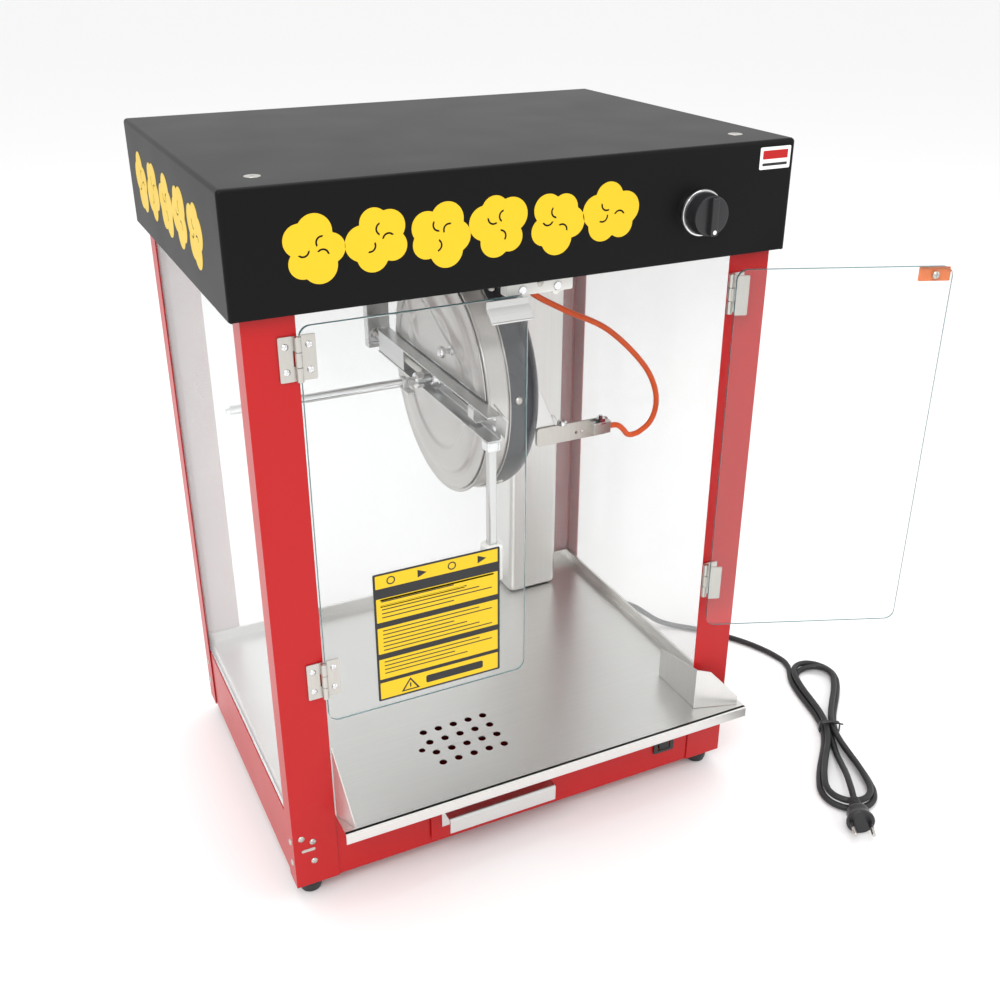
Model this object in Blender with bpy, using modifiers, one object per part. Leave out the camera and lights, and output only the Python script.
"""Counter-top popcorn maker: red sheet-metal cabinet, black roof, tipping kettle, glass doors.

Metres, +Z up. The cabinet stands on the floor at z = 0, its front faces -Y, and x = 0, y = 0 is the
middle of the cabinet. The left door is closed, the right door stands open, and the kettle is tipped.
"""

from math import atan2, cos, pi, radians, sin, sqrt

import bmesh
import bpy
from mathutils import Matrix, Vector

# ---------------------------------------------------------------- driving dimensions
GAP = 0.0003                 # clearance between touching pieces
SHEET = 0.0012               # painted and stainless sheet

TOTAL_H = 0.700
ROOF_W, ROOF_D, ROOF_H = 0.520, 0.380, 0.100
ROOF_EDGE_R = 0.006
BASE_W, BASE_D, BASE_H = ROOF_W - 0.020, ROOF_D - 0.020, 0.075
FOOT_R, FOOT_H = 0.013, 0.018
FOOT_INSET = 0.018
POST_FACE, POST_SIDE = 0.044, 0.024

GLASS = 0.004
PANE = 0.003
DOOR_TOP_DROP = 0.013        # roof edge to the top of a door
DOOR_H = 0.382
DOOR_CORNER_R = 0.010
DOOR_GAP = 0.0015            # half the slit between the doors
RIGHT_DOOR_OPEN = radians(158)
HINGE_H, HINGE_LEAF, HINGE_T = 0.038, 0.0155, 0.0015
HINGE_INSET = 0.025          # end of a door to the middle of its hinge
BARREL_R, PIN_R = 0.0030, 0.0014
BARREL_OUT = 0.0045          # hinge axis in front of the door's face

TRAY_RIM_H = 0.014
LIP_OUT, LIP_DROP = 0.030, 0.012
LIP_RIGHT_OVERHANG = 0.008
HOLE_R, HOLE_PITCH_X, HOLE_PITCH_Y = 0.0040, 0.0175, 0.0180
HOLE_COLUMNS, HOLE_ROWS = 5, 4
HOLE_X0, HOLE_Y0 = -0.080, -0.152
WING_H = 0.082

DRAWER_W, DRAWER_LEN, DRAWER_H = 0.130, 0.148, 0.036
DRAWER_X = -0.036
DRAWER_Z = 0.030
DRAWER_FRONT_W, DRAWER_FRONT_H = 0.142, 0.046
PULL_W = 0.120

PIVOT_X, PIVOT_Z = -0.020, TOTAL_H - ROOF_H - 0.145
POT_R, POT_DEPTH, POT_WALL = 0.1175, 0.050, 0.0015
RIM_R, RIM_T = POT_R + 0.0025, 0.0030
POT_BOTTOM_R = 0.022
RIM_X = 0.008                # rim plane behind the pivot
COVER_R, COVER_LIP, COVER_DEPTH = POT_R + 0.0020, 0.024, 0.040
COVER_BOTTOM_R = 0.026
HEATER_R, HEATER_T = POT_R - 0.0295, 0.005
BRIDGE_H, BRIDGE_FRONT, BRIDGE_REAR = 0.026, 0.150, 0.135
PIVOT_PIN_R, PIVOT_PIN_IN = 0.0050, 0.016
LID_T, LID_R = 0.0020, POT_R - 0.0010
SHAFT_R, SHAFT_LEN = 0.0045, 0.210
PADDLE_LEN = POT_R - 0.0295
HANDLE_ROD, HANDLE_LEN = 0.008, 0.148
GRIP_W, GRIP_LEN = 0.018, 0.040
HANGER_Y, HANGER_W, HANGER_T = 0.150, 0.026, 0.003

TERMINAL_W, TERMINAL_H, TERMINAL_OUT = 0.075, 0.100, 0.045
ARM_LEN, ARM_H, ARM_T = 0.085, 0.022, 0.002
LEAD_R = 0.0030
GLAND_X, LEAD_Y = 0.045, -0.0615

DUCT_X, DUCT_W, DUCT_D = 0.128, 0.075, 0.055
DUCT_STEP_Z = 0.330
KNOB_X, KNOB_DROP, KNOB_R, KNOB_OUT = 0.162, 0.057, 0.021, 0.018
SWITCH_X, SWITCH_Z, SWITCH_W, SWITCH_H = 0.174, 0.052, 0.026, 0.024
LAMP_X, LAMP_Y, LAMP_R = 0.078, 0.045, 0.024
MOTOR_R, MOTOR_H, COUPLING_R = 0.030, 0.017, 0.013
COUPLING_CLEAR = 0.003

CORD_R = 0.0035
CORD_EXIT_Y, CORD_EXIT_Z = 0.105, 0.046
HANK_A = Vector((0.455, -0.100, 0))      # far end of the folded hank
HANK_B = Vector((0.348, -0.290, 0))      # end beside the plug
HANK_W, HANK_H = 0.056, 0.0175
PLUG_LEN, PLUG_R, PLUG_NECK_R = 0.036, 0.0150, 0.0065
PLUG_PIN_R, PLUG_PIN_LEN, PLUG_PIN_PITCH = 0.0024, 0.019, 0.019

# ---------------------------------------------------------------- derived places
ROOF_Z = TOTAL_H - ROOF_H
BASE_TOP = FOOT_H + BASE_H
FRONT = -BASE_D / 2
CEILING_Z = ROOF_Z + 0.0020
POST_TOP = CEILING_Z - GAP
TRAY_Z = BASE_TOP + GAP
INNER_X = BASE_W / 2 - SHEET - GAP - PANE - GAP
OPENING_X = BASE_W / 2 - POST_FACE
HINGE_X = OPENING_X + 0.0008
HINGE_Y = FRONT - BARREL_OUT
DOOR_TOP = ROOF_Z - DOOR_TOP_DROP
DOOR_BOTTOM = DOOR_TOP - DOOR_H
DOOR_EDGE_X = OPENING_X - 0.0020
LIP_RIGHT = BASE_W / 2 + LIP_RIGHT_OVERHANG
COVER_BACK = RIM_X + COVER_LIP + COVER_DEPTH
TERMINAL_Z = PIVOT_Z - 0.072
KNOB_Z = TOTAL_H - KNOB_DROP

CORD_PIECES = ("mains_cord", "cord_hank", "mains_plug")

PALETTE = {
    "red": ((0.61, 0.008, 0.008), 0.38, 0.0),
    "black": ((0.010, 0.010, 0.012), 0.42, 0.0),
    "steel": ((0.62, 0.61, 0.59), 0.30, 1.0),
    "bright": ((0.80, 0.80, 0.80), 0.18, 1.0),
    "nickel": ((0.42, 0.41, 0.38), 0.32, 1.0),
    "glass": ((0.92, 0.96, 0.96), 0.02, 0.0),
    "rubber": ((0.015, 0.015, 0.015), 0.75, 0.0),
    "orange": ((0.78, 0.13, 0.01), 0.45, 0.0),
    "slate": ((0.10, 0.11, 0.13), 0.40, 0.6),
    "plastic": ((0.016, 0.016, 0.018), 0.35, 0.0),
    "white": ((0.80, 0.80, 0.78), 0.45, 0.0),
}


# ---------------------------------------------------------------- scene and helpers
def clear_scene():
    for obj in list(bpy.data.objects):
        bpy.data.objects.remove(obj, do_unlink=True)


def new_collection(name, hidden=False):
    group = bpy.data.collections.new(name)
    group.hide_render = hidden
    bpy.context.scene.collection.children.link(group)
    return group


def finish(obj, colour):
    """Gives a sub-part its own material and puts it in the object's collection."""
    rgb, roughness, metallic = PALETTE[colour]
    material = bpy.data.materials.new(obj.name + "_finish")
    material.use_nodes = True
    shader = material.node_tree.nodes["Principled BSDF"]
    shader.inputs["Base Color"].default_value = (*rgb, 1)
    shader.inputs["Roughness"].default_value = roughness
    shader.inputs["Metallic"].default_value = metallic
    if colour == "glass":
        shader.inputs["Transmission Weight"].default_value = 1.0
    material.diffuse_color = (*rgb, 1)
    obj.data.materials.clear()
    obj.data.materials.append(material)
    for group in list(obj.users_collection):
        group.objects.unlink(obj)
    PARTS.objects.link(obj)
    return obj


def apply_scale(obj):
    obj.data.transform(Matrix.Diagonal((*obj.scale, 1)))
    obj.scale = (1, 1, 1)


def box(name, low, high, bevel=0.0, segments=2):
    """A box between two corners."""
    low, high = Vector(low), Vector(high)
    bpy.ops.mesh.primitive_cube_add(size=1, location=(low + high) / 2)
    obj = bpy.context.object
    obj.name = name
    obj.scale = high - low
    apply_scale(obj)
    if bevel:
        add_bevel(obj, bevel, segments)
    return obj


def add_bevel(obj, width, segments=2, angle=40):
    bevel = obj.modifiers.new("edges", "BEVEL")
    bevel.width = width
    bevel.segments = segments
    bevel.limit_method = "ANGLE"
    bevel.angle_limit = radians(angle)
    return bevel


def rod(name, start, end, radius, sides=16):
    """A straight round bar from one point to another."""
    start, end = Vector(start), Vector(end)
    bpy.ops.mesh.primitive_cylinder_add(vertices=sides, radius=radius, depth=(end - start).length)
    obj = bpy.context.object
    obj.name = name
    obj.location = (start + end) / 2
    obj.rotation_euler = (end - start).to_track_quat("Z", "Y").to_euler()
    obj.data.shade_smooth()
    obj.data.set_sharp_from_angle(angle=radians(40))
    return obj


def frame_of(origin, x_axis, y_axis):
    """The matrix whose X and Y axes lie along the given directions."""
    x_axis, y_axis = Vector(x_axis).normalized(), Vector(y_axis).normalized()
    z_axis = x_axis.cross(y_axis)
    matrix = Matrix((x_axis, y_axis, z_axis)).transposed().to_4x4()
    matrix.translation = Vector(origin)
    return matrix


def plate(name, outlines, thickness, frame):
    """A flat outline, with any further outlines as holes, centred on its frame's XY plane."""
    data = bpy.data.curves.new(name, "CURVE")
    data.dimensions = "2D"
    data.fill_mode = "BOTH"
    data.extrude = thickness / 2
    for outline in outlines:
        spline = data.splines.new("POLY")
        spline.points.add(len(outline) - 1)
        for point, (x, y) in zip(spline.points, outline):
            point.co = (x, y, 0, 1)
        spline.use_cyclic_u = True
    obj = bpy.data.objects.new(name, data)
    bpy.context.scene.collection.objects.link(obj)
    obj.matrix_world = frame
    return to_mesh(obj)


def to_mesh(obj):
    """A mesh object in place of a curve object, with its caps welded."""
    bpy.context.view_layer.update()
    graph = bpy.context.evaluated_depsgraph_get()
    mesh = bpy.data.meshes.new_from_object(obj.evaluated_get(graph))
    name, frame = obj.name, obj.matrix_world.copy()
    bpy.data.objects.remove(obj, do_unlink=True)
    edit = bmesh.new()
    edit.from_mesh(mesh)
    bmesh.ops.remove_doubles(edit, verts=edit.verts, dist=1e-6)
    bmesh.ops.recalc_face_normals(edit, faces=edit.faces)
    edit.to_mesh(mesh)
    edit.free()
    made = bpy.data.objects.new(name, mesh)
    bpy.context.scene.collection.objects.link(made)
    made.matrix_world = frame
    return made


def arc(cx, cy, radius, start, stop, count):
    """Points on an arc, with angles in degrees."""
    steps = [radians(start + (stop - start) * i / (count - 1)) for i in range(count)]
    return [(cx + radius * cos(a), cy + radius * sin(a)) for a in steps]


def rounded_rect(x0, y0, x1, y1, radius, count=4):
    return (arc(x1 - radius, y1 - radius, radius, 0, 90, count)
            + arc(x0 + radius, y1 - radius, radius, 90, 180, count)
            + arc(x0 + radius, y0 + radius, radius, 180, 270, count)
            + arc(x1 - radius, y0 + radius, radius, 270, 360, count))


def turned(name, profile, origin, axis, steps=24):
    """A solid turned from (radius, height) points, top to bottom down the outer side."""
    mesh = bpy.data.meshes.new(name)
    edges = [(i, i + 1) for i in range(len(profile) - 1)]
    mesh.from_pydata([(r, 0, z) for r, z in profile], edges, [])
    obj = bpy.data.objects.new(name, mesh)
    bpy.context.scene.collection.objects.link(obj)
    obj.location = origin
    obj.rotation_euler = Vector(axis).to_track_quat("Z", "Y").to_euler()
    screw = obj.modifiers.new("turn", "SCREW")
    screw.steps = steps
    screw.render_steps = steps
    screw.use_merge_vertices = True
    screw.merge_threshold = 0.00005
    screw.use_smooth_shade = True
    return obj


def boolean(obj, other, operation="DIFFERENCE"):
    """Cuts, or joins on, another solid, and keeps it out of the model."""
    for group in list(other.users_collection):
        group.objects.unlink(other)
    CUTTERS.objects.link(other)
    other.hide_render = True
    other.display_type = "WIRE"
    step = obj.modifiers.new(operation.lower(), "BOOLEAN")
    step.operation = operation
    step.object = other
    step.solver = "EXACT"
    return obj


def join_on(obj, *others):
    for other in others:
        boolean(obj, other, "UNION")
    return obj


def set_origin(obj, point):
    """Moves the origin to a point in the world, with the shape left where it is."""
    bpy.context.view_layer.update()
    inverse = obj.matrix_world.inverted()
    obj.data.transform(Matrix.Translation(-(inverse @ Vector(point))))
    obj.matrix_world = Matrix.Translation(Vector(point) - obj.matrix_world.translation) @ obj.matrix_world
    return obj


def empty(name, point):
    """A joint axis that moving pieces hang from."""
    obj = bpy.data.objects.new(name, None)
    obj.location = point
    obj.empty_display_size = 0.03
    PARTS.objects.link(obj)
    return obj


def hang(parent, *children):
    bpy.context.view_layer.update()
    for child in children:
        child.parent = parent
        child.matrix_parent_inverse = parent.matrix_world.inverted()


def smooth_route(points, count):
    """Evenly spaced points on a Catmull-Rom curve through the given points."""
    points = [Vector(p) for p in points]
    ends = [2 * points[0] - points[1]] + points + [2 * points[-1] - points[-2]]
    fine = []
    for i in range(1, len(ends) - 2):
        before, a, b, after = ends[i - 1:i + 3]
        for k in range(24):
            t = k / 24
            fine.append(0.5 * (2 * a + (b - before) * t + (2 * before - 5 * a + 4 * b - after) * t * t
                               + (3 * a - before - 3 * b + after) * t ** 3))
    fine.append(points[-1])
    travelled = [0.0]
    for a, b in zip(fine, fine[1:]):
        travelled.append(travelled[-1] + (b - a).length)
    route = []
    for i in range(count):
        want = travelled[-1] * i / (count - 1)
        k = next((k for k in range(1, len(fine)) if travelled[k] >= want - 1e-9), len(fine) - 1)
        span = travelled[k] - travelled[k - 1]
        route.append(fine[k - 1].lerp(fine[k], (want - travelled[k - 1]) / span))
    return route


def tube(name, route, radius):
    data = bpy.data.curves.new(name, "CURVE")
    data.dimensions = "3D"
    data.bevel_depth = radius
    data.bevel_resolution = 2
    data.use_fill_caps = True
    spline = data.splines.new("POLY")
    spline.points.add(len(route) - 1)
    for point, place in zip(spline.points, route):
        point.co = (*place, 1)
    obj = bpy.data.objects.new(name, data)
    bpy.context.scene.collection.objects.link(obj)
    return obj


# ---------------------------------------------------------------- cabinet
def build_base():
    """Open-topped tray of folded sheet with the drawer, switch and cord cut into it."""
    half_x, half_y = BASE_W / 2 - SHEET - GAP, BASE_D / 2 - SHEET - GAP
    base = box("base_shell", (-half_x, -half_y, FOOT_H + GAP), (half_x, half_y, BASE_TOP))
    inside = box("base_inside", (-half_x + SHEET, -half_y + SHEET, FOOT_H + GAP + SHEET),
                 (half_x - SHEET, half_y - SHEET, BASE_TOP + 0.01))
    clear = 0.0015
    drawer = box("drawer_cut", (DRAWER_X - DRAWER_W / 2 - clear, -half_y - 0.01, DRAWER_Z - clear),
                 (DRAWER_X + DRAWER_W / 2 + clear, -half_y + 0.01, DRAWER_Z + DRAWER_H + clear))
    switch = box("switch_cut",
                 (SWITCH_X - SWITCH_W / 2 + 0.003, -half_y - 0.01, SWITCH_Z - SWITCH_H / 2 + 0.003),
                 (SWITCH_X + SWITCH_W / 2 - 0.003, -half_y + 0.01, SWITCH_Z + SWITCH_H / 2 - 0.003))
    cord = rod("cord_cut", (half_x - 0.01, CORD_EXIT_Y, CORD_EXIT_Z),
               (half_x + 0.01, CORD_EXIT_Y, CORD_EXIT_Z), 0.0075)
    for cutter in (inside, drawer, switch, cord):
        boolean(base, cutter)
    finish(base, "red")


def build_posts():
    """Folded angle posts, one at each corner, from the foot of the base to the ceiling."""
    height = POST_TOP - FOOT_H
    for side, side_name in ((-1, "left"), (1, "right")):
        for end, end_name in ((-1, "front"), (1, "rear")):
            x, y = side * BASE_W / 2, end * BASE_D / 2
            outline = [(x, y), (x - side * POST_FACE, y), (x - side * POST_FACE, y - end * SHEET),
                       (x - side * SHEET, y - end * SHEET), (x - side * SHEET, y - end * POST_SIDE),
                       (x, y - end * POST_SIDE)]
            frame = Matrix.Translation((0, 0, FOOT_H + height / 2))
            finish(plate(f"post_{end_name}_{side_name}", [outline], height, frame), "red")


def build_feet():
    profile = [(0, FOOT_H - GAP), (FOOT_R, FOOT_H - GAP), (FOOT_R * 0.80, 0.0015),
               (FOOT_R * 0.68, 0), (0, 0)]
    for side, side_name in ((-1, "left"), (1, "right")):
        for end, end_name in ((-1, "front"), (1, "rear")):
            place = (side * (BASE_W / 2 - FOOT_INSET), end * (BASE_D / 2 - FOOT_INSET), 0)
            finish(turned(f"foot_{end_name}_{side_name}", profile, place, (0, 0, 1), 20), "rubber")


def build_roof():
    """Five-sided black cap with softly rounded edges, open below."""
    roof = box("roof_cap", (-ROOF_W / 2, -ROOF_D / 2, ROOF_Z), (ROOF_W / 2, ROOF_D / 2, TOTAL_H))
    edit = bmesh.new()
    edit.from_mesh(roof.data)
    rounded = [e for e in edit.edges if max(v.co.z for v in e.verts) > 0]
    bmesh.ops.bevel(edit, geom=rounded, offset=ROOF_EDGE_R, segments=3, profile=0.5, affect="EDGES")
    edit.to_mesh(roof.data)
    edit.free()
    inside = box("roof_inside", (-ROOF_W / 2 + SHEET, -ROOF_D / 2 + SHEET, ROOF_Z - 0.01),
                 (ROOF_W / 2 - SHEET, ROOF_D / 2 - SHEET, TOTAL_H - SHEET), ROOF_EDGE_R - SHEET, 2)
    shaft_hole = rod("knob_shaft_cut", (KNOB_X, -ROOF_D / 2 - 0.01, KNOB_Z),
                     (KNOB_X, -ROOF_D / 2 + 0.01, KNOB_Z), 0.0045, 12)
    boolean(boolean(roof, inside), shaft_hole)
    finish(roof, "black")


def build_ceiling():
    """Stainless panel under the roof, with the slot that the stirrer's drive shaft swings up through."""
    half_x, half_y = ROOF_W / 2 - SHEET - GAP, ROOF_D / 2 - SHEET - GAP
    rise = CEILING_Z - PIVOT_Z
    reach = sqrt(SHAFT_LEN ** 2 - rise ** 2)
    edge = rounded_rect(-half_x, -half_y, half_x, half_y, ROOF_EDGE_R)
    slot = rounded_rect(PIVOT_X - reach - 0.009, -0.009, PIVOT_X + 0.012, 0.009, 0.006)
    gland = arc(GLAND_X, LEAD_Y, 0.0062, 0, 330, 12)
    frame = Matrix.Translation((0, 0, CEILING_Z + SHEET / 2))
    finish(plate("ceiling_panel", [edge, slot, gland], SHEET, frame), "steel")


def build_panes():
    z0, z1 = TRAY_Z + 0.003, CEILING_Z - 0.0008
    y = BASE_D / 2 - SHEET - GAP
    x = BASE_W / 2 - SHEET - GAP
    for side, name in ((-1, "left"), (1, "right")):
        inner, outer = side * (x - PANE), side * x
        finish(box(f"pane_{name}", (min(inner, outer), -y, z0), (max(inner, outer), y, z1)), "glass")
    half = x - PANE - GAP
    finish(box("pane_rear", (-half, y - PANE, z0), (half, y, z1)), "glass")


def build_tray():
    """Stainless floor with upstands at the back and sides and a hemmed lip over the base at the front."""
    rear = BASE_D / 2 - SHEET - GAP - PANE - GAP
    lip_y = FRONT - LIP_OUT
    inner = OPENING_X - GAP
    x1 = INNER_X - GAP
    shoulder = FRONT + SHEET + GAP
    ease = 0.0005                # the shoulders lean back, so that no two edges share a line
    floor_edge = [(-x1, rear), (-x1, shoulder + ease), (-inner, shoulder), (-inner, lip_y),
                  (LIP_RIGHT, lip_y), (LIP_RIGHT, FRONT - GAP), (inner, FRONT - GAP),
                  (inner, shoulder), (x1, shoulder + 2 * ease), (x1, rear)]
    holes = []
    for column in range(HOLE_COLUMNS):
        for row in range(HOLE_ROWS):
            cx, cy = HOLE_X0 + column * HOLE_PITCH_X, HOLE_Y0 + row * HOLE_PITCH_Y
            holes.append(arc(cx, cy, HOLE_R, 0, 315, 8))
    frame = Matrix.Translation((0, 0, TRAY_Z + SHEET / 2))
    tray = plate("floor_tray", [floor_edge] + holes, SHEET, frame)
    low, high = TRAY_Z + SHEET / 2, TRAY_Z + TRAY_RIM_H
    lap = SHEET / 2
    tuck = 0.0002                # keeps the joined walls off the floor's own faces
    hem = box("lip_hem", (-inner + tuck, lip_y - SHEET, TRAY_Z - LIP_DROP),
              (LIP_RIGHT - tuck, lip_y + SHEET / 4, TRAY_Z + SHEET - tuck))
    back = box("rim_back", (-x1 + tuck, rear - SHEET, low), (x1 - tuck, rear - tuck, high))
    left = box("rim_left", (-x1 + 2 * tuck, FRONT + 0.012, low), (-x1 + SHEET, rear - lap, high - tuck))
    right = box("rim_right", (x1 - SHEET, FRONT + 0.012, low), (x1 - 2 * tuck, rear - lap, high - tuck))
    join_on(tray, hem, back, left, right)
    finish(tray, "steel")


def build_wings():
    """Gusset plates that keep the popcorn on the lip."""
    foot = TRAY_Z + SHEET + GAP
    inner = OPENING_X - 0.0012
    reach = LIP_OUT - 0.004
    left = plate("tray_wing_left", [[(0, 0), (reach, 0), (reach, 0.004), (0, WING_H)]], SHEET,
                 frame_of((-inner, FRONT - 0.001, foot), (0.45, -1, 0), (0, 0, 1)))
    finish(left, "steel")
    inside_len = 0.070
    right = plate("tray_wing_right", [[(0, 0), (inside_len, 0), (inside_len, WING_H * 0.62), (0, 0.036)]],
                  SHEET, frame_of((inner, FRONT + inside_len - 0.008, foot), (0, -1, 0), (0, 0, 1)))
    flare_len = LIP_RIGHT - inner - 0.004
    flare = plate("wing_flare", [[(-0.0006, 0), (flare_len, 0), (flare_len, 0.010), (0.016, WING_H * 0.56),
                                  (-0.0006, WING_H * 0.62)]],
                  SHEET, frame_of((inner, FRONT - 0.008, foot), (1, -0.30, 0), (0, 0, 1)))
    join_on(right, flare)
    finish(right, "steel")


def build_duct():
    """Stainless wire duct in the rear right corner: a shallow upper channel on a deeper lower cover."""
    rear = BASE_D / 2 - 0.006
    floor = TRAY_Z + SHEET + GAP
    upper = box("wire_duct", (DUCT_X, rear - DUCT_D + 0.008, DUCT_STEP_Z - 0.01),
                (DUCT_X + DUCT_W, rear, CEILING_Z - GAP))
    lower = box("duct_lower", (DUCT_X + 0.002, rear - DUCT_D, floor),
                (DUCT_X + DUCT_W - 0.006, rear, DUCT_STEP_Z), 0.008, 3)
    finish(join_on(upper, lower), "steel")


# ---------------------------------------------------------------- doors and hinges
def build_door(name):
    """A glass door, drawn closed at the left. Its outer face is flush with the posts."""
    outline = rounded_rect(-DOOR_EDGE_X, DOOR_BOTTOM, -DOOR_GAP, DOOR_TOP, DOOR_CORNER_R)
    frame = frame_of((0, FRONT + GLASS / 2, 0), (1, 0, 0), (0, 0, 1))
    return finish(plate(name, [outline], GLASS, frame), "glass")


def hinge_leaf(name, z, knuckles, inward):
    """One leaf with its knuckles, at the left door. The leaf on the post also carries the pin."""
    x_axis = -HINGE_X
    far = x_axis + inward * HINGE_LEAF
    face = FRONT - GAP
    near = x_axis + inward * (BARREL_R + 0.0006)
    leaf = box(name, (min(near, far), face - HINGE_T, z - HINGE_H / 2),
               (max(near, far), face, z + HINGE_H / 2))
    for low, high in knuckles:
        z0, z1 = z - HINGE_H / 2 + low * HINGE_H, z - HINGE_H / 2 + high * HINGE_H
        barrel = rod("knuckle", (x_axis, HINGE_Y, z0), (x_axis, HINGE_Y, z1), BARREL_R, 12)
        web = box("web", (min(x_axis, near) - 0.0002, face - HINGE_T - 0.0004, z0),
                  (max(x_axis, near) + 0.0002, face - HINGE_T + 0.0011, z1))
        if inward > 0:
            bore = rod("bore", (x_axis, HINGE_Y, z - HINGE_H), (x_axis, HINGE_Y, z + HINGE_H),
                       PIN_R + GAP, 10)
        join_on(leaf, web, barrel)
    if inward > 0:
        boolean(leaf, bore)
    else:
        join_on(leaf, rod("pin", (x_axis, HINGE_Y, z - HINGE_H / 2 + 0.002),
                          (x_axis, HINGE_Y, z + HINGE_H / 2 - 0.002), PIN_R, 10))
    return finish(leaf, "nickel")


def baked_mesh(source):
    """The piece as its modifiers leave it, in world coordinates."""
    bpy.context.view_layer.update()
    graph = bpy.context.evaluated_depsgraph_get()
    mesh = bpy.data.meshes.new_from_object(source.evaluated_get(graph))
    mesh.transform(source.matrix_world)
    return mesh


def from_mesh(name, mesh, colour):
    obj = bpy.data.objects.new(name, mesh)
    bpy.context.scene.collection.objects.link(obj)
    return finish(obj, colour)


def mirrored(source, name, colour):
    """The same piece for the right-hand side of the cabinet, as a mesh of its own."""
    mesh = baked_mesh(source)
    mesh.transform(Matrix.Diagonal((-1, 1, 1, 1)))
    mesh.flip_normals()
    return from_mesh(name, mesh, colour)


def build_doors():
    hinge_at = {"lower": DOOR_BOTTOM + HINGE_INSET + HINGE_H / 2 + 0.006, "upper": DOOR_TOP - HINGE_INSET}
    split = GAP / HINGE_H
    post_knuckles = [(0, 1 / 3 - split), (2 / 3 + split, 1)]
    door_knuckles = [(1 / 3 + split, 2 / 3 - split)]
    left_door = build_door("door_left")
    right_door = mirrored(left_door, "door_right", "glass")
    left_axis = empty("left_door_axis", (-HINGE_X, HINGE_Y, 0))
    right_axis = empty("right_door_axis", (HINGE_X, HINGE_Y, 0))
    left_moving, right_moving = [left_door], [right_door]
    for level, z in hinge_at.items():
        fixed = hinge_leaf(f"hinge_post_{level}_left", z, post_knuckles, -1)
        moving = hinge_leaf(f"hinge_door_{level}_left", z, door_knuckles, 1)
        mirrored(fixed, f"hinge_post_{level}_right", "nickel")
        right_moving.append(mirrored(moving, f"hinge_door_{level}_right", "nickel"))
        left_moving.append(moving)
    left_moving.append(build_door_pull())
    right_moving.append(build_catch_plate())
    hang(left_axis, *left_moving)
    hang(right_axis, *right_moving)
    right_axis.rotation_euler.z = RIGHT_DOOR_OPEN


def build_door_pull():
    """Bright folded tab on the top free corner of the left door, which is also its catch plate."""
    face = FRONT - GAP
    width, height, out = 0.040, 0.016, 0.013
    x1 = -DOOR_GAP - 0.0005
    z1 = DOOR_TOP - 0.001
    profile = [(0, 0), (SHEET, 0), (SHEET + 0.0005, -height * 0.3), (out, -height), (out, -height - SHEET),
               (out - 0.0012, -height - SHEET), (0, -height * 0.3 - 0.001)]
    tab = plate("door_pull", [profile], width,
                frame_of((x1 - width / 2, face, z1), (0, -1, 0), (0, 0, 1)))
    return finish(tab, "bright")


def build_catch_plate():
    """Orange plate with a screw on the top free corner of the right door, drawn closed."""
    face = FRONT - GAP
    x0, z1 = DOOR_GAP + 0.0015, DOOR_TOP - 0.0015
    blank = box("catch_blank", (x0, face - 0.0018, z1 - 0.013), (x0 + 0.030, face, z1), 0.0006, 1)
    screw = rod("catch_screw", (x0 + 0.015, face - 0.0028, z1 - 0.0065),
                (x0 + 0.015, face - 0.001, z1 - 0.0065), 0.0028, 12)
    join_on(blank, screw)
    mesh = baked_mesh(blank)
    bpy.data.objects.remove(blank, do_unlink=True)
    return from_mesh("catch_plate", mesh, "orange")


def build_magnet():
    """Double magnetic catch under the roof's front edge, behind both doors' top corners."""
    y0 = FRONT + GLASS + 0.0012
    body = box("magnetic_catch", (-0.020, y0, DOOR_TOP - 0.006), (0.046, y0 + 0.014, CEILING_Z - GAP),
               0.0015, 2)
    finish(body, "white")


# ---------------------------------------------------------------- drawer, switch, knob
def build_drawer():
    """Crumb drawer under the holes in the tray, with a folded pull on its front."""
    t = SHEET
    x0, x1 = DRAWER_X - DRAWER_W / 2, DRAWER_X + DRAWER_W / 2
    y0 = FRONT - GAP
    pan = box("crumb_drawer", (x0, y0 + 0.0002, DRAWER_Z), (x1, y0 + DRAWER_LEN, DRAWER_Z + DRAWER_H))
    hollow = box("drawer_hollow", (x0 + t, y0 + t + 0.0010, DRAWER_Z + t),
                 (x1 - t, y0 + DRAWER_LEN - t, DRAWER_Z + DRAWER_H + 0.01))
    front_z = DRAWER_Z + DRAWER_H / 2
    front = box("drawer_front", (DRAWER_X - DRAWER_FRONT_W / 2, y0 - t, front_z - DRAWER_FRONT_H / 2),
                (DRAWER_X + DRAWER_FRONT_W / 2, y0 + 0.0004, front_z + DRAWER_FRONT_H / 2))
    boolean(join_on(pan, front), hollow)
    finish(pan, "red")
    top = front_z + DRAWER_FRONT_H / 2 - 0.006
    profile = [(0, 0), (0.020, -0.001), (0.0235, -0.017), (0.0223, -0.0175), (0.0188, -0.0025),
               (SHEET, -0.0015), (SHEET, -0.026), (0, -0.026)]
    pull = plate("drawer_pull", [profile], PULL_W,
                 frame_of((DRAWER_X, y0 - t - GAP, top), (0, -1, 0), (0, 0, 1)))
    finish(pull, "bright")
    hang(empty("drawer_slide", (DRAWER_X, FRONT, DRAWER_Z)), pan, pull)


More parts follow.
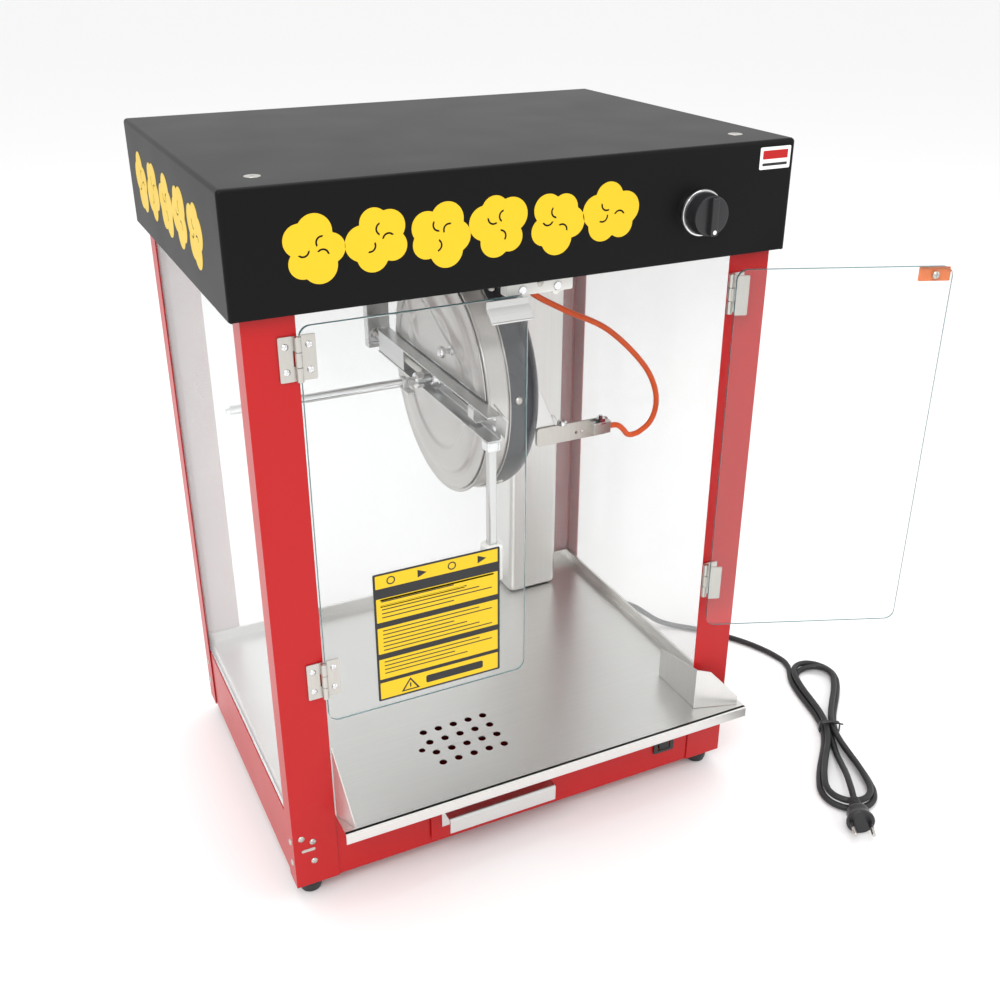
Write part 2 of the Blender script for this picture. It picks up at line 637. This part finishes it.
def build_switch():
    """Rocker switch: a framed housing through the front of the base and the rocker in it."""
    face = FRONT + SHEET + GAP
    outer = face - GAP
    half_w, half_h = SWITCH_W / 2, SWITCH_H / 2
    housing = box("switch_housing", (SWITCH_X - half_w, outer - 0.0022, SWITCH_Z - half_h),
                  (SWITCH_X + half_w, outer, SWITCH_Z + half_h), 0.0006, 1)
    barrel = box("switch_barrel", (SWITCH_X - half_w + 0.004, outer - 0.001, SWITCH_Z - half_h + 0.004),
                 (SWITCH_X + half_w - 0.004, outer + 0.020, SWITCH_Z + half_h - 0.004))
    well = box("switch_well", (SWITCH_X - 0.0058, outer - 0.01, SWITCH_Z - half_h + 0.0055),
               (SWITCH_X + 0.0058, outer + 0.009, SWITCH_Z + half_h - 0.0055))
    boolean(join_on(housing, barrel), well)
    finish(housing, "orange")
    axis_y = outer + 0.0025
    length = half_h - 0.0075
    profile = [(-length, 0.001), (-length, -0.0055), (0, -0.0042), (length, -0.0030), (length, 0.001),
               (0, 0.0040)]
    rocker = plate("rocker", [profile], 0.0105,
                   frame_of((SWITCH_X, axis_y, SWITCH_Z), (0, 0, 1), (0, 1, 0)))
    finish(set_origin(rocker, (SWITCH_X, axis_y, SWITCH_Z)), "plastic")


def build_knob():
    """Temperature knob on the roof's front, with the thermostat behind it."""
    face = -ROOF_D / 2
    profile = [(0, KNOB_OUT), (KNOB_R * 0.80, KNOB_OUT), (KNOB_R * 0.86, KNOB_OUT - 0.0015),
               (KNOB_R * 0.90, 0.0035), (KNOB_R, 0.003), (KNOB_R, 0), (0, 0)]
    knob = turned("temperature_knob", profile, (KNOB_X, face - GAP, KNOB_Z), (0, -1, 0), 32)
    grip = box("knob_grip", (KNOB_X - 0.0035, face - GAP - KNOB_OUT - 0.006, KNOB_Z - KNOB_R * 0.78),
               (KNOB_X + 0.0035, face - GAP - KNOB_OUT + 0.002, KNOB_Z + KNOB_R * 0.78), 0.0015, 2)
    stem = rod("knob_stem", (KNOB_X, face - GAP - 0.002, KNOB_Z), (KNOB_X, face + 0.006, KNOB_Z), 0.003, 12)
    finish(join_on(knob, grip, stem), "plastic")
    inside = face + SHEET + GAP
    body = box("thermostat", (KNOB_X - 0.019, inside + 0.0085, KNOB_Z - 0.019),
               (KNOB_X + 0.019, inside + 0.034, KNOB_Z + 0.019), 0.002, 1)
    collar = rod("thermostat_collar", (KNOB_X, inside, KNOB_Z), (KNOB_X, inside + 0.009, KNOB_Z), 0.009, 16)
    bore = rod("thermostat_bore", (KNOB_X, inside - 0.01, KNOB_Z), (KNOB_X, inside + 0.0075, KNOB_Z),
               0.0035, 12)
    finish(boolean(join_on(body, collar), bore), "white")


# ---------------------------------------------------------------- roof drive, lamp, gland
def build_drive():
    """Flat gear motor under the roof, and the drive dog that turns the upright kettle's stirrer."""
    top = TOTAL_H - SHEET - GAP
    dog_low = PIVOT_Z + SHAFT_LEN + COUPLING_CLEAR
    motor_low = top - MOTOR_H
    motor = rod("gear_motor", (PIVOT_X, 0, motor_low), (PIVOT_X, 0, top), MOTOR_R, 24)
    boolean(motor, rod("motor_bore", (PIVOT_X, 0, motor_low - 0.01), (PIVOT_X, 0, motor_low + 0.009),
                       0.0035, 12))
    finish(motor, "nickel")
    dog_high = motor_low - GAP
    dog = rod("drive_dog", (PIVOT_X, 0, dog_low), (PIVOT_X, 0, dog_high), COUPLING_R, 24)
    notch = box("dog_notch", (PIVOT_X - 0.02, -0.0025, dog_low - 0.01),
                (PIVOT_X + 0.02, 0.0025, dog_low + (dog_high - dog_low) / 2))
    stem = rod("dog_stem", (PIVOT_X, 0, dog_high - 0.002), (PIVOT_X, 0, motor_low + 0.008), 0.003, 12)
    finish(set_origin(join_on(boolean(dog, notch), stem), (PIVOT_X, 0, dog_high)), "steel")


def build_lamp():
    """Warming lamp under the ceiling: a lamp holder and its domed glass."""
    z = CEILING_Z - GAP
    holder = [(0, 0), (LAMP_R, 0), (LAMP_R, -0.008), (0, -0.008)]
    finish(turned("lamp_holder", holder, (LAMP_X, LAMP_Y, z), (0, 0, 1), 24), "bright")
    dome = [(0, -0.0083)] + [(LAMP_R * 0.9 * cos(a), -0.0083 - 0.014 * sin(a))
                             for a in [radians(d) for d in (0, 25, 50, 72)]] + [(0, -0.0223)]
    finish(turned("lamp_glass", dome, (LAMP_X, LAMP_Y, z), (0, 0, 1), 24), "white")


def build_gland():
    z = CEILING_Z
    bore = LEAD_R + GAP
    body = [(bore, 0.008), (0.0056, 0.008), (0.0056, 0.0), (0.0085, -GAP), (0.0085, -0.007),
            (0.0050, -0.010), (bore, -0.010), (bore, 0.008)]
    gland = turned("ceiling_gland", body, (GLAND_X, LEAD_Y, z), (0, 0, 1), 16)
    finish(gland, "plastic")


# ---------------------------------------------------------------- kettle
def along_x(name, profile, offset=0.0, steps=40):
    """A shape turned about the kettle's own axis. Height in the profile runs back from the pivot."""
    return turned(name, profile, (PIVOT_X + offset, 0, PIVOT_Z), (1, 0, 0), steps)


def build_pot():
    """Spun pot with a rolled rim. The mouth faces -X while the kettle is tipped."""
    bottom = RIM_X + POT_DEPTH
    outer = arc(POT_R - POT_BOTTOM_R, bottom - POT_BOTTOM_R, POT_BOTTOM_R, 90, 0, 5)
    inner_r = POT_BOTTOM_R - POT_WALL
    inner = arc(POT_R - POT_BOTTOM_R, bottom - POT_BOTTOM_R, inner_r, 0, 90, 5)
    profile = ([(0, bottom)] + outer + [(POT_R, RIM_X + RIM_T), (RIM_R, RIM_X + RIM_T), (RIM_R, RIM_X),
               (POT_R - POT_WALL, RIM_X)] + inner + [(0, bottom - POT_WALL)])
    return finish(along_x("kettle_pot", profile), "steel")


def build_kettle_cover():
    """Cup over the heater at the back of the pot."""
    back = COVER_BACK
    outer = arc(COVER_R - COVER_BOTTOM_R, back - COVER_BOTTOM_R, COVER_BOTTOM_R, 90, 0, 5)
    inner_r = COVER_BOTTOM_R - SHEET
    inner = arc(COVER_R - COVER_BOTTOM_R, back - COVER_BOTTOM_R, inner_r, 0, 90, 5)
    mouth = RIM_X + COVER_LIP
    profile = ([(0, back)] + outer + [(COVER_R, mouth), (COVER_R - SHEET, mouth)] + inner
               + [(0, back - SHEET)])
    return finish(along_x("kettle_base_cover", profile), "slate")


def build_heater():
    low = RIM_X + POT_DEPTH + GAP
    profile = [(0, low + HEATER_T), (HEATER_R, low + HEATER_T), (HEATER_R, low), (0, low)]
    return finish(along_x("heater_plate", profile, steps=32), "slate")


def build_bridge():
    """Bar across the kettle's mouth, which turns on the pivot pin and carries the lids and the shaft."""
    low = (PIVOT_X - 0.0075, -BRIDGE_FRONT, PIVOT_Z - BRIDGE_H / 2)
    high = (PIVOT_X + RIM_X - GAP, BRIDGE_REAR, PIVOT_Z + BRIDGE_H / 2)
    bridge = box("kettle_bridge", low, high, 0.0012, 1)
    pin_bore = rod("bridge_pin_bore", (PIVOT_X, PIVOT_PIN_IN - 0.004, PIVOT_Z),
                   (PIVOT_X, BRIDGE_REAR + 0.01, PIVOT_Z), PIVOT_PIN_R + GAP, 16)
    shaft_bore = rod("bridge_shaft_bore", (PIVOT_X - 0.02, 0, PIVOT_Z), (PIVOT_X + 0.02, 0, PIVOT_Z),
                     SHAFT_R + GAP, 16)
    return finish(boolean(boolean(bridge, pin_bore), shaft_bore), "steel")


def build_hanger():
    """Channel that hangs from the ceiling behind the kettle, and the pin that it holds."""
    top = CEILING_Z - GAP
    half = HANGER_W / 2
    t = HANGER_T
    outline = [(-half, 0), (half, 0), (half, 0.012), (half - t, 0.012), (half - t, t), (-half + t, t),
               (-half + t, 0.012), (-half, 0.012)]
    bottom = PIVOT_Z - half
    hanger = plate("kettle_hanger", [outline], top - bottom,
                   Matrix.Translation((PIVOT_X, HANGER_Y, (top + bottom) / 2)))
    bore = rod("hanger_bore", (PIVOT_X, HANGER_Y - 0.01, PIVOT_Z), (PIVOT_X, HANGER_Y + 0.01, PIVOT_Z),
               PIVOT_PIN_R + GAP, 16)
    finish(boolean(hanger, bore), "steel")
    pin = rod("pivot_pin", (PIVOT_X, PIVOT_PIN_IN, PIVOT_Z), (PIVOT_X, HANGER_Y + t + 0.002, PIVOT_Z),
              PIVOT_PIN_R, 16)
    head = rod("pin_head", (PIVOT_X, HANGER_Y + t + GAP, PIVOT_Z),
               (PIVOT_X, HANGER_Y + t + 0.005, PIVOT_Z), PIVOT_PIN_R + 0.003, 16)
    finish(join_on(pin, head), "nickel")


def build_handle():
    """Tilt handle: a square bar down from the bridge's front end, and its grip."""
    y = -BRIDGE_FRONT + 0.008
    half = HANDLE_ROD / 2
    top = PIVOT_Z - BRIDGE_H / 2 - GAP
    bottom = top - HANDLE_LEN + GRIP_LEN
    bar = box("tilt_handle", (PIVOT_X - half, y - half, bottom - GRIP_LEN + 0.004),
              (PIVOT_X + half, y + half, top), 0.0008, 1)
    grip = box("handle_grip", (PIVOT_X - GRIP_W / 2, y - GRIP_W / 2, bottom - GRIP_LEN),
               (PIVOT_X + GRIP_W / 2, y + GRIP_W / 2, bottom), 0.003, 2)
    socket = half + GAP
    boolean(grip, box("grip_socket", (PIVOT_X - socket, y - socket, bottom - GRIP_LEN + 0.004 - GAP),
                      (PIVOT_X + socket, y + socket, bottom + 0.01)))
    return [finish(bar, "steel"), finish(grip, "white")]


def build_lid(name, up):
    """Half lid hinged beside the bridge: a disc cut straight along the bridge."""
    edge = BRIDGE_H / 2 + LID_T / 2 + 2 * GAP    # the lid's own thickness swings past the bridge
    reach = sqrt(LID_R ** 2 - edge ** 2)
    start = radians(1) + atan2(edge, reach)
    steps = [start + (pi - 2 * start) * i / 20 for i in range(21)]
    outline = [(LID_R * cos(a), up * LID_R * sin(a)) for a in steps]
    outline += [(-reach + 0.003, up * edge), (reach - 0.003, up * edge)]
    x = PIVOT_X + RIM_X - GAP - LID_T / 2
    lid = plate(name, [outline], LID_T, frame_of((x, 0, PIVOT_Z), (0, 1, 0), (0, 0, 1)))
    return finish(set_origin(lid, (x, 0, PIVOT_Z + up * edge)), "steel")


def build_stirrer():
    """Drive shaft through the bridge, with the paddle that sweeps the pot's floor."""
    floor = RIM_X + POT_DEPTH - POT_WALL
    shaft = rod("stirrer", (PIVOT_X - SHAFT_LEN, 0, PIVOT_Z), (PIVOT_X + floor - 0.003, 0, PIVOT_Z),
                SHAFT_R, 12)
    x = PIVOT_X + floor - 0.006
    paddle = box("paddle", (x - 0.0015, -PADDLE_LEN, PIVOT_Z - 0.004),
                 (x + 0.0015, PADDLE_LEN, PIVOT_Z + 0.004))
    tongue = box("shaft_tongue", (PIVOT_X - SHAFT_LEN - 0.001, -0.0030, PIVOT_Z - 0.0016),
                 (PIVOT_X - SHAFT_LEN + 0.004, 0.0030, PIVOT_Z + 0.0016))
    collar = rod("shaft_collar", (PIVOT_X - 0.018, 0, PIVOT_Z), (PIVOT_X - 0.0085, 0, PIVOT_Z), 0.008, 16)
    return finish(set_origin(join_on(shaft, paddle, tongue, collar), (PIVOT_X, 0, PIVOT_Z)), "bright")


def build_terminal():
    """Sloped wiring cover on the kettle's back and the arm that clamps the kettle's lead."""
    x0 = PIVOT_X + COVER_BACK + GAP
    z0 = TERMINAL_Z
    y1 = 0.020
    y0 = y1 - TERMINAL_W
    wedge = plate("terminal_cover",
                  [[(0, 0), (TERMINAL_OUT, 0), (TERMINAL_OUT, 0.016), (0.008, TERMINAL_H),
                    (0, TERMINAL_H)]],
                  TERMINAL_W, frame_of((x0, (y0 + y1) / 2, z0), (1, 0, 0), (0, 0, 1)))
    hollow = plate("terminal_hollow",
                   [[(-0.01, SHEET), (TERMINAL_OUT - SHEET, SHEET), (TERMINAL_OUT - SHEET, 0.0155),
                     (0.0073, TERMINAL_H - SHEET), (-0.01, TERMINAL_H - SHEET)]],
                   TERMINAL_W - 2 * SHEET, frame_of((x0, (y0 + y1) / 2, z0), (1, 0, 0), (0, 0, 1)))
    boolean(wedge, hollow)
    arm_y = y0 - GAP - ARM_T / 2
    arm_x0 = x0 + TERMINAL_OUT - 0.024
    end = arm_x0 + ARM_LEN
    arm_z = z0 + 0.006
    outline = rounded_rect(arm_x0, arm_z - ARM_H / 2 + 0.004, end, arm_z + ARM_H / 2 + 0.002, 0.003, 3)
    holes = [arc(arm_x0 + ARM_LEN * 0.55 + dx, arm_z + 0.001, 0.0018, 0, 315, 8) for dx in (0, 0.007)]
    arm = plate("lead_clamp_arm", [outline] + holes, ARM_T, frame_of((0, arm_y, 0), (1, 0, 0), (0, 0, 1)))
    clamp = box("lead_clamp", (end - 0.022, LEAD_Y - 0.005, arm_z - 0.002),
                (end - 0.002, arm_y, arm_z + 0.010))
    join_on(arm, clamp)
    return [finish(wedge, "bright"), finish(arm, "nickel")], Vector((end - 0.002, LEAD_Y, arm_z + 0.004))


def build_kettle_lead(clamp_face):
    """Heat-proof lead that loops from the ceiling gland to the clamp on the tipped kettle."""
    start = Vector((GLAND_X, LEAD_Y, CEILING_Z + 0.006))
    end = clamp_face + Vector((GAP, 0, 0))
    route = [start, start + Vector((0, 0, -0.017)), start + Vector((0, 0, -0.030)),
             Vector((0.060, LEAD_Y, PIVOT_Z + 0.097)), Vector((0.098, LEAD_Y, PIVOT_Z + 0.073)),
             Vector((0.150, LEAD_Y, PIVOT_Z + 0.045)), Vector((0.198, LEAD_Y, PIVOT_Z - 0.007)),
             Vector((0.217, LEAD_Y, PIVOT_Z - 0.050)), Vector((0.200, LEAD_Y, PIVOT_Z - 0.077)),
             end + Vector((0.018, 0, -0.001)), end]
    return finish(tube("kettle_lead", smooth_route(route, 46), LEAD_R), "orange")


def build_kettle():
    axis = empty("kettle_axis", (PIVOT_X, 0, PIVOT_Z))
    pieces = [build_pot(), build_kettle_cover(), build_heater(), build_bridge()]
    pieces += build_handle()
    pieces += [build_lid("lid_upper", 1), build_lid("lid_lower", -1), build_stirrer()]
    terminal, clamp_face = build_terminal()
    build_kettle_lead(clamp_face)
    hang(axis, *pieces, *terminal)
    build_hanger()


# ---------------------------------------------------------------- mains cord
def build_mains():
    """Strain relief in the base's right side, the cord along the floor, the tied hank and the plug."""
    wall = BASE_W / 2 - SHEET - GAP
    relief_end = wall + 0.033
    profile = [(CORD_R + GAP, 0.032), (0.0046, 0.032), (0.0066, 0.004), (0.0100, 0.0035), (0.0100, GAP),
               (0.0070, GAP), (0.0070, -0.004), (CORD_R + GAP, -0.004), (CORD_R + GAP, 0.032)]
    relief = turned("mains_strain_relief", profile, (wall, CORD_EXIT_Y, CORD_EXIT_Z), (1, 0, 0), 16)
    finish(relief, "plastic")
    run = (HANK_B - HANK_A).normalized()
    start = Vector((wall - 0.003, CORD_EXIT_Y, CORD_EXIT_Z))
    floor = CORD_R + 0.0002
    hank_start = HANK_A - run * (HANK_W / 2 + GAP)
    route = [start, Vector((relief_end, CORD_EXIT_Y, CORD_EXIT_Z)),
             Vector((relief_end + 0.016, CORD_EXIT_Y, CORD_EXIT_Z)), Vector((0.325, 0.101, 0.026)),
             Vector((0.356, 0.086, floor + 0.003)), Vector((0.392, 0.052, floor)),
             Vector((0.430, 0.012, floor)), Vector((0.458, -0.028, floor)),
             Vector((hank_start.x + 0.006, hank_start.y + 0.016, floor)),
             Vector((hank_start.x, hank_start.y, floor))]
    finish(tube("mains_cord", smooth_route(route, 50), CORD_R), "rubber")
    length = (HANK_B - HANK_A).length
    half = HANK_W / 2
    outline = arc(length, 0, half, -90, 90, 9) + arc(0, 0, half, 90, 270, 9)
    side = Vector((-run.y, run.x, 0))
    hank = plate("cord_hank", [outline], HANK_H,
                 frame_of(HANK_A + Vector((0, 0, HANK_H / 2 + 0.0002)), run, side))
    finish(hank, "rubber")
    build_plug(HANK_B + run * (half + GAP), run)


def build_plug(start, direction):
    """Two-pin plug that lies on the floor with its neck against the hank."""
    height = PLUG_R + 0.0002
    body = [(0, PLUG_LEN), (PLUG_R * 0.94, PLUG_LEN), (PLUG_R, PLUG_LEN - 0.002), (PLUG_R, 0.014),
            (PLUG_NECK_R + 0.001, 0.006), (PLUG_NECK_R, 0), (0, 0)]
    base = Vector((start.x, start.y, height))
    plug = turned("mains_plug", body, base, direction, 20)
    side = Vector((-direction.y, direction.x, 0)) * (PLUG_PIN_PITCH / 2)
    for sign in (-1, 1):
        root = base + direction * (PLUG_LEN - 0.002) + side * sign
        pin = rod("plug_pin", root, root + direction * (PLUG_PIN_LEN + 0.002), PLUG_PIN_R, 10)
        join_on(plug, pin)
    finish(plug, "plastic")


def stand_on_origin():
    """Puts the origin on the floor under the middle of the object, with its free cord left out."""
    bpy.context.view_layer.update()
    graph = bpy.context.evaluated_depsgraph_get()
    corners = []
    for obj in PARTS.objects:
        if obj.type == "EMPTY" or obj.name in CORD_PIECES:
            continue
        mesh = bpy.data.meshes.new_from_object(obj.evaluated_get(graph))
        corners += [obj.matrix_world @ vertex.co for vertex in mesh.vertices]
        bpy.data.meshes.remove(mesh)
    low_x, high_x = min(c.x for c in corners), max(c.x for c in corners)
    low_y, high_y = min(c.y for c in corners), max(c.y for c in corners)
    shift = Vector((-(low_x + high_x) / 2, -(low_y + high_y) / 2, 0))
    for obj in list(PARTS.objects) + list(CUTTERS.objects):
        if obj.parent is None:
            obj.location += shift


clear_scene()
PARTS = new_collection("popcorn_maker")
CUTTERS = new_collection("cutters", hidden=True)
build_base()
build_posts()
build_feet()
build_roof()
build_ceiling()
build_panes()
build_tray()
build_wings()
build_duct()
build_doors()
build_magnet()
build_drawer()
build_switch()
build_knob()
build_drive()
build_lamp()
build_gland()
build_kettle()
build_mains()
stand_on_origin()
